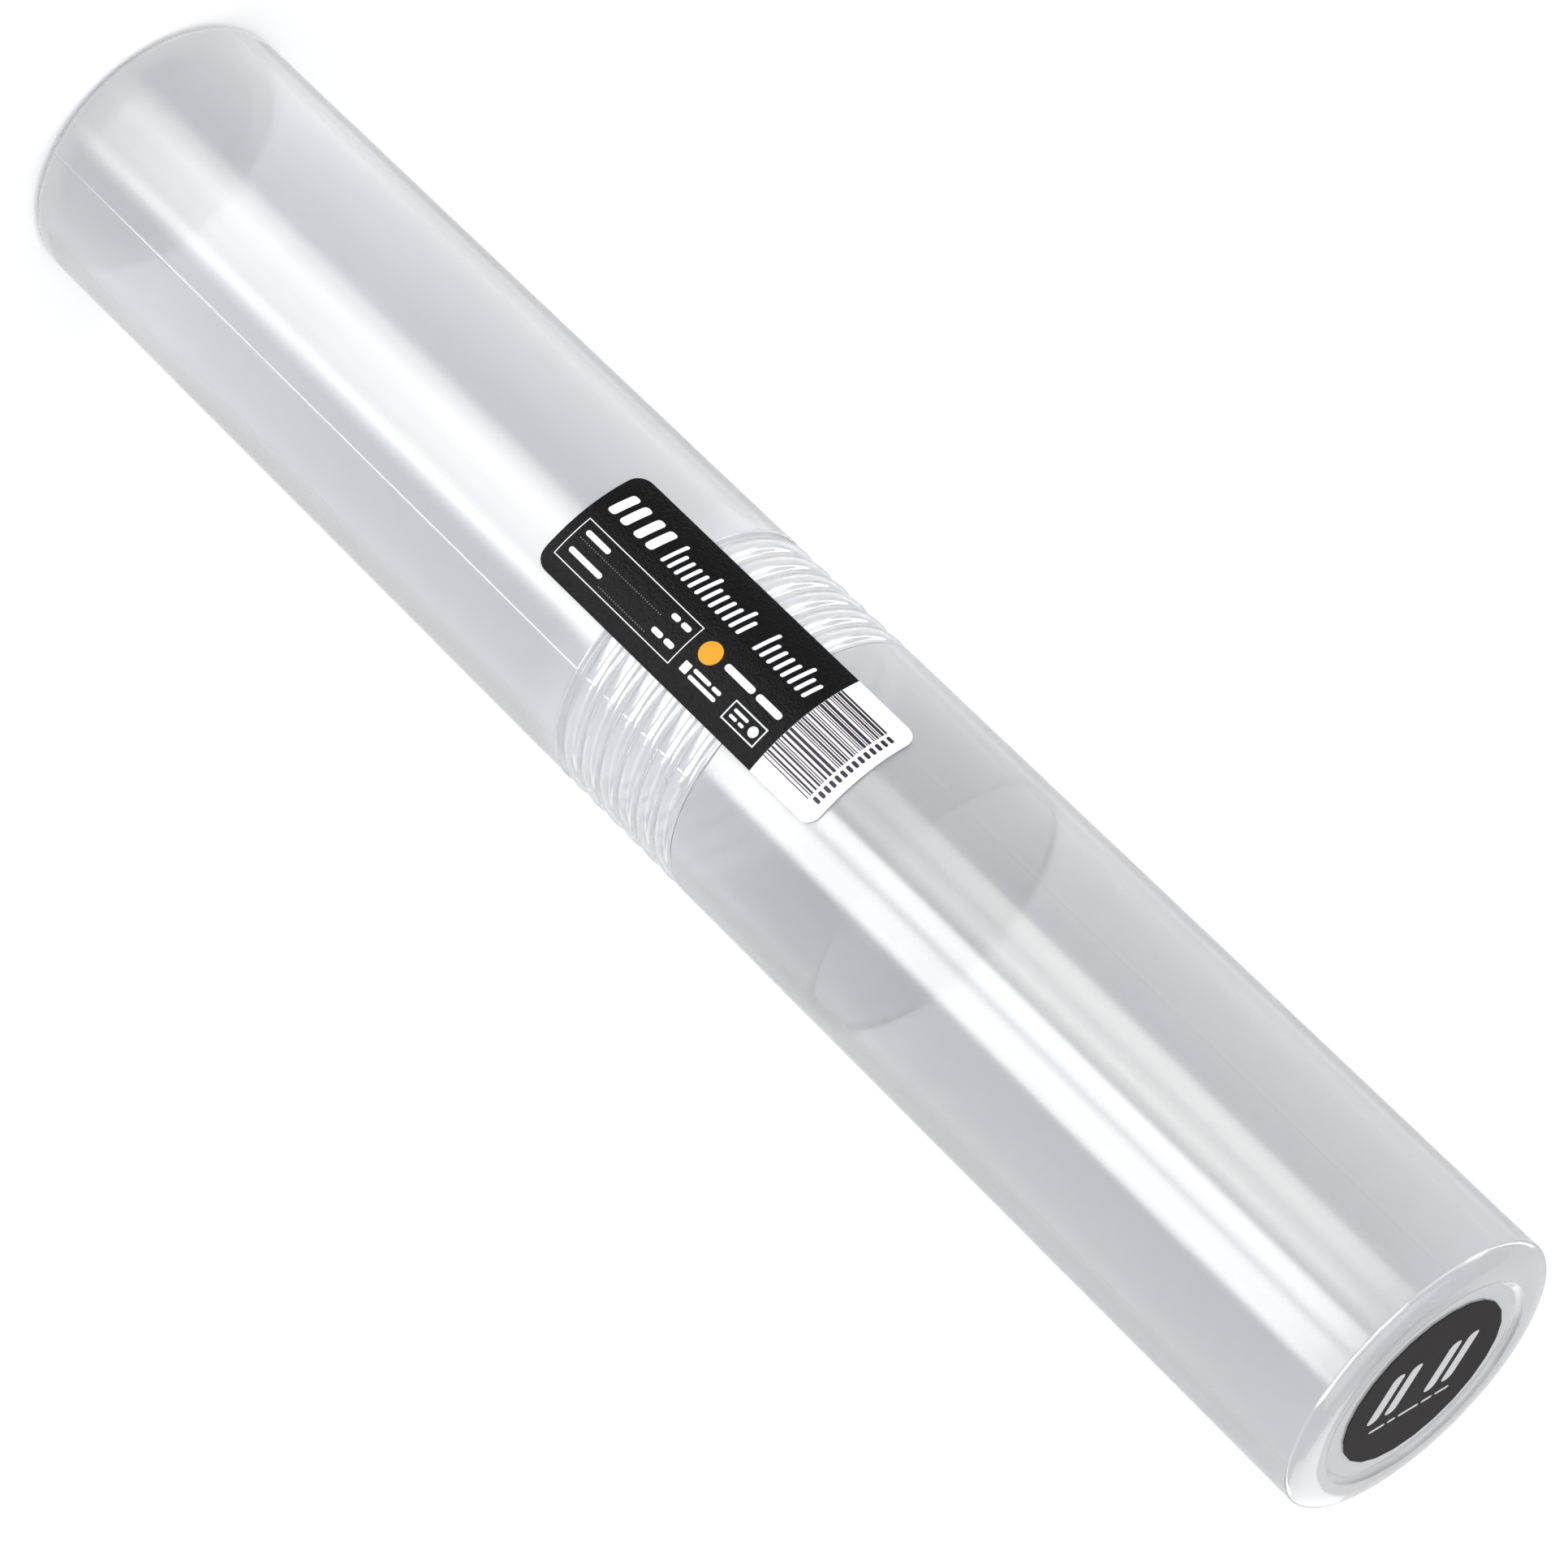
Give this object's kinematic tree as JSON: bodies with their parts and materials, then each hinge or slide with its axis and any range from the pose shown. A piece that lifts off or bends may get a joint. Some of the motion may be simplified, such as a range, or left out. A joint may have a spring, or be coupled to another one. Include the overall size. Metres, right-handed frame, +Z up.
{
  "type": "poster storage tube",
  "caption": "Upright two-part storage tube of frosted plastic with a ringed collar, a push-on sleeve and two stickers.",
  "frame": {"origin": "middle of the base ring that the tube stands on", "axes": "+Z up along the tube towards the sleeve's closed end, the front label faces -Y"},
  "size_m": [0.073, 0.0734, 0.44],
  "materials": {
    "frosted_plastic": "milky translucent, satin",
    "black_sticker": "printed film, semi-gloss"
  },
  "bodies": {
    "lower_half": {"lower_tube": "frosted_plastic", "front_label": "black_sticker"},
    "upper_half": {"upper_tube": "frosted_plastic", "end_label": "black_sticker"}
  },
  "joints": [
    {"name": "pull_apart", "type": "slide", "parent": "lower_half", "child": "upper_half", "axis": [0, 0, 1], "range_m": [0, 0.12]}
  ]
}
